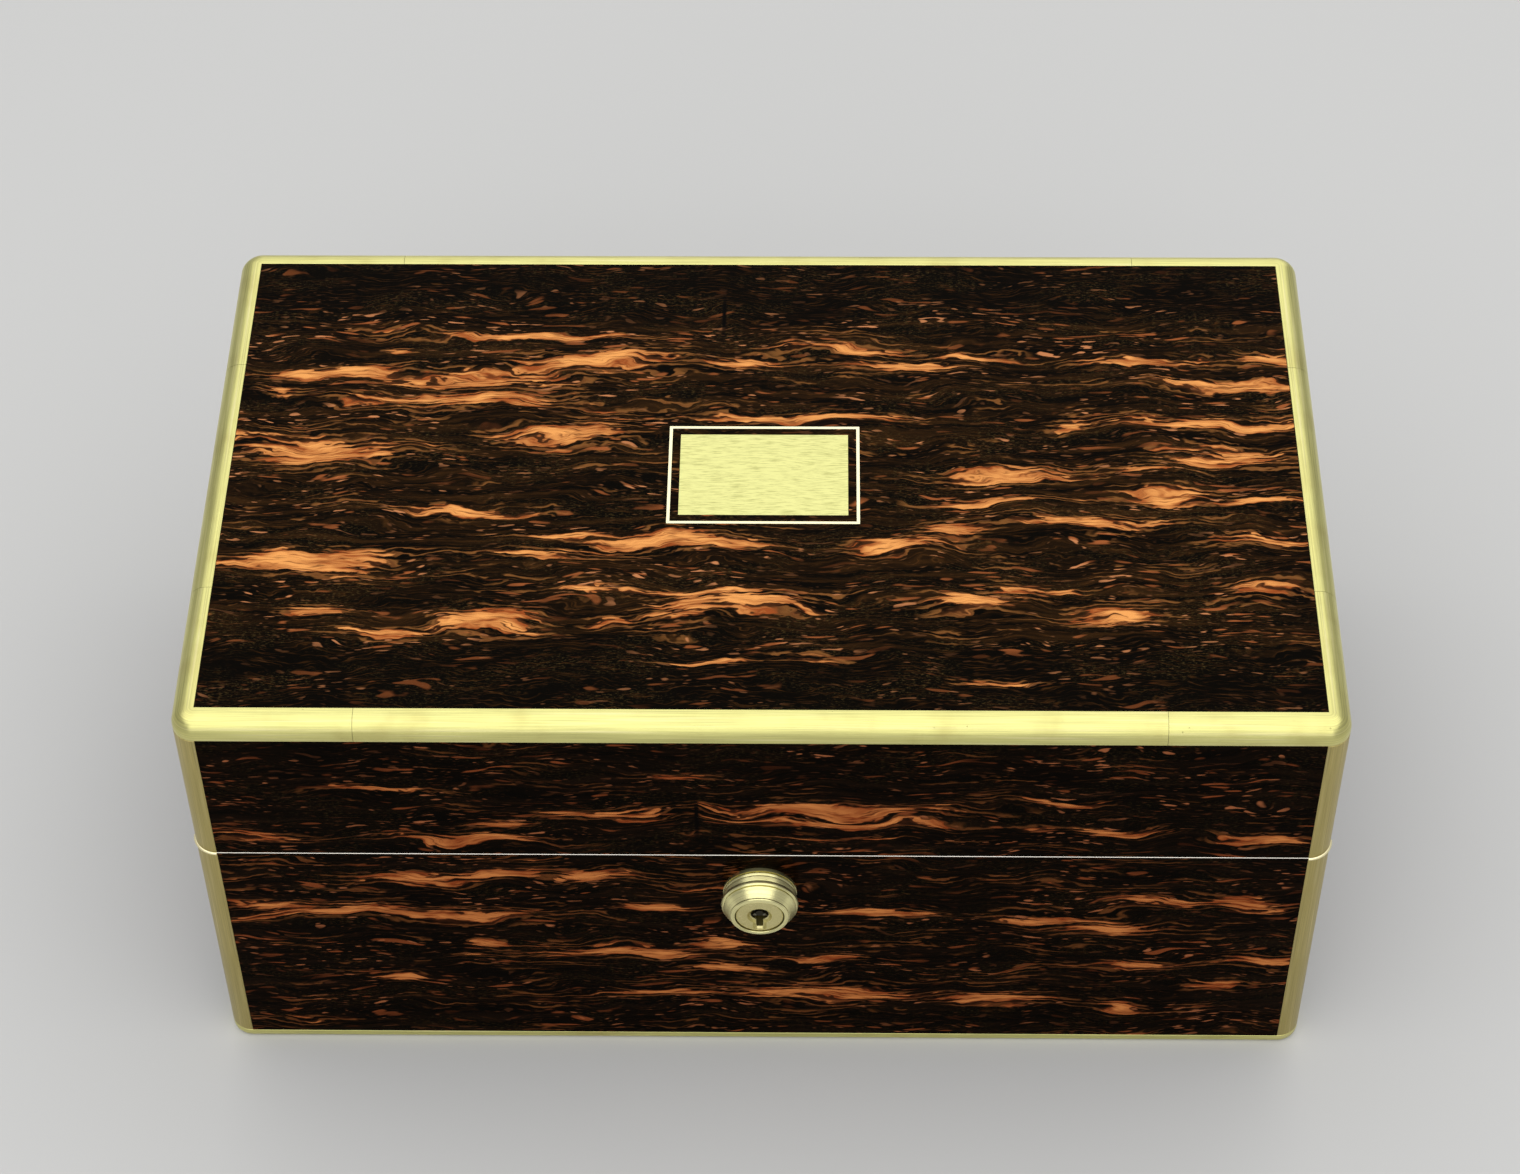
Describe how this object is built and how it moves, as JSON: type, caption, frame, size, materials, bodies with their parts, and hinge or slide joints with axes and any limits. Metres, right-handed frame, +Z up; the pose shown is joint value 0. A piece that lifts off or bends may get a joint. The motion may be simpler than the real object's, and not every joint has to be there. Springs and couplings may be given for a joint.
{
  "type": "hinged jewelry box",
  "caption": "Brass-bound veneered travelling jewelry box with a deep hinged lid, a turned front lock and a lift-out tray.",
  "frame": {"origin": "centre of the underside, on the surface the box stands on", "axes": "+X to the right along the box's length, +Y from the front towards the hinges, +Z up"},
  "size_m": [0.305, 0.1911, 0.1407],
  "materials": {
    "veneer": "French polished dark streaked veneer with orange-brown figure",
    "carcass_wood": "plain oiled wood at the rims",
    "brass": "polished and lightly brushed, fine scratches",
    "steel": "filed bright",
    "covered_board": "thin board covered in purple velvet",
    "velvet": "purple silk velvet",
    "silk": "purple silk satin, buttoned",
    "baize": "dark green felted cloth"
  },
  "bodies": {
    "base": {"base_walls": "carcass_wood", "base_bottom_board": "carcass_wood", "base_underside_cloth": "baize", "base_foot_edging": "brass", "base_lining": "covered_board", "base_floor_pad": "velvet", "base_veneer_front": "veneer", "base_veneer_back": "veneer", "base_veneer_left": "veneer", "base_veneer_right": "veneer", "base_corner_strap_back_right": "brass", "base_corner_strap_back_left": "brass", "base_corner_strap_front_left": "brass", "base_corner_strap_front_right": "brass", "lock_nozzle": "brass", "lock_body": "brass", "lock_cap": "brass", "lock_centre_pin": "steel", "hinge_base_leaf_left": "brass", "hinge_base_leaf_right": "brass", "hinge_pin_left": "steel", "hinge_pin_right": "steel"},
    "lid": {"lid_walls": "carcass_wood", "lid_top_board": "carcass_wood", "lid_veneer_top": "veneer", "lid_veneer_front": "veneer", "lid_veneer_back": "veneer", "lid_veneer_left": "veneer", "lid_veneer_right": "veneer", "lid_corner_strap_back_right": "brass", "lid_corner_strap_back_left": "brass", "lid_corner_strap_front_left": "brass", "lid_corner_strap_front_right": "brass", "lid_corner_piece_back_right": "brass", "lid_corner_piece_back_left": "brass", "lid_corner_piece_front_left": "brass", "lid_corner_piece_front_right": "brass", "lid_edge_strip_front": "brass", "lid_edge_strip_back": "brass", "lid_edge_strip_left": "brass", "lid_edge_strip_right": "brass", "initial_plate": "brass", "plate_stringing": "brass", "lid_link_plate": "brass", "lid_lining": "covered_board", "lid_pad": "silk", "hinge_lid_leaf_left": "brass", "hinge_lid_leaf_right": "brass"},
    "tray": {"tray_box": "covered_board", "tray_divider_ring_bay": "covered_board", "tray_divider_end_bays": "covered_board", "tray_ring_cushion": "velvet"},
    "plug": {"lock_plug": "brass", "lock_slider_spring": "steel"},
    "sliders": {"lock_slider_1": "steel", "lock_slider_2": "steel", "lock_slider_3": "steel", "lock_slider_4": "steel"},
    "bolt": {"lock_bolt": "steel"}
  },
  "joints": [
    {"name": "lid_hinge", "type": "hinge", "parent": "base", "child": "lid", "pos_m": [0, 0.08925, 0.0869], "axis": [-1, 0, 0], "range_deg": [0, 95]},
    {"name": "tray_lift", "type": "slide", "parent": "base", "child": "tray", "axis": [0, 0, 1], "range_m": [0, 0.055]},
    {"name": "key_turn", "type": "hinge", "parent": "base", "child": "plug", "pos_m": [-0.0005, -0.08925, 0.0715], "axis": [0, 1, 0], "range_deg": [0, 90]},
    {"name": "bolt_slide", "type": "slide", "parent": "base", "child": "bolt", "axis": [1, 0, 0], "range_m": [0, 0.006]},
    {"name": "slider_press", "type": "slide", "parent": "plug", "child": "sliders", "axis": [0, 1, 0], "range_m": [0, 0.0025], "stiffness_N_per_m": 400, "springref_m": -0.001, "deforming": ["lock_slider_spring"]}
  ],
  "couplings": [
    {"joint": "tray_lift", "follows": "lid_hinge", "m_per_rad": 0.033},
    {"joint": "key_turn", "follows": "bolt_slide", "rad_per_m": 261.79}
  ]
}
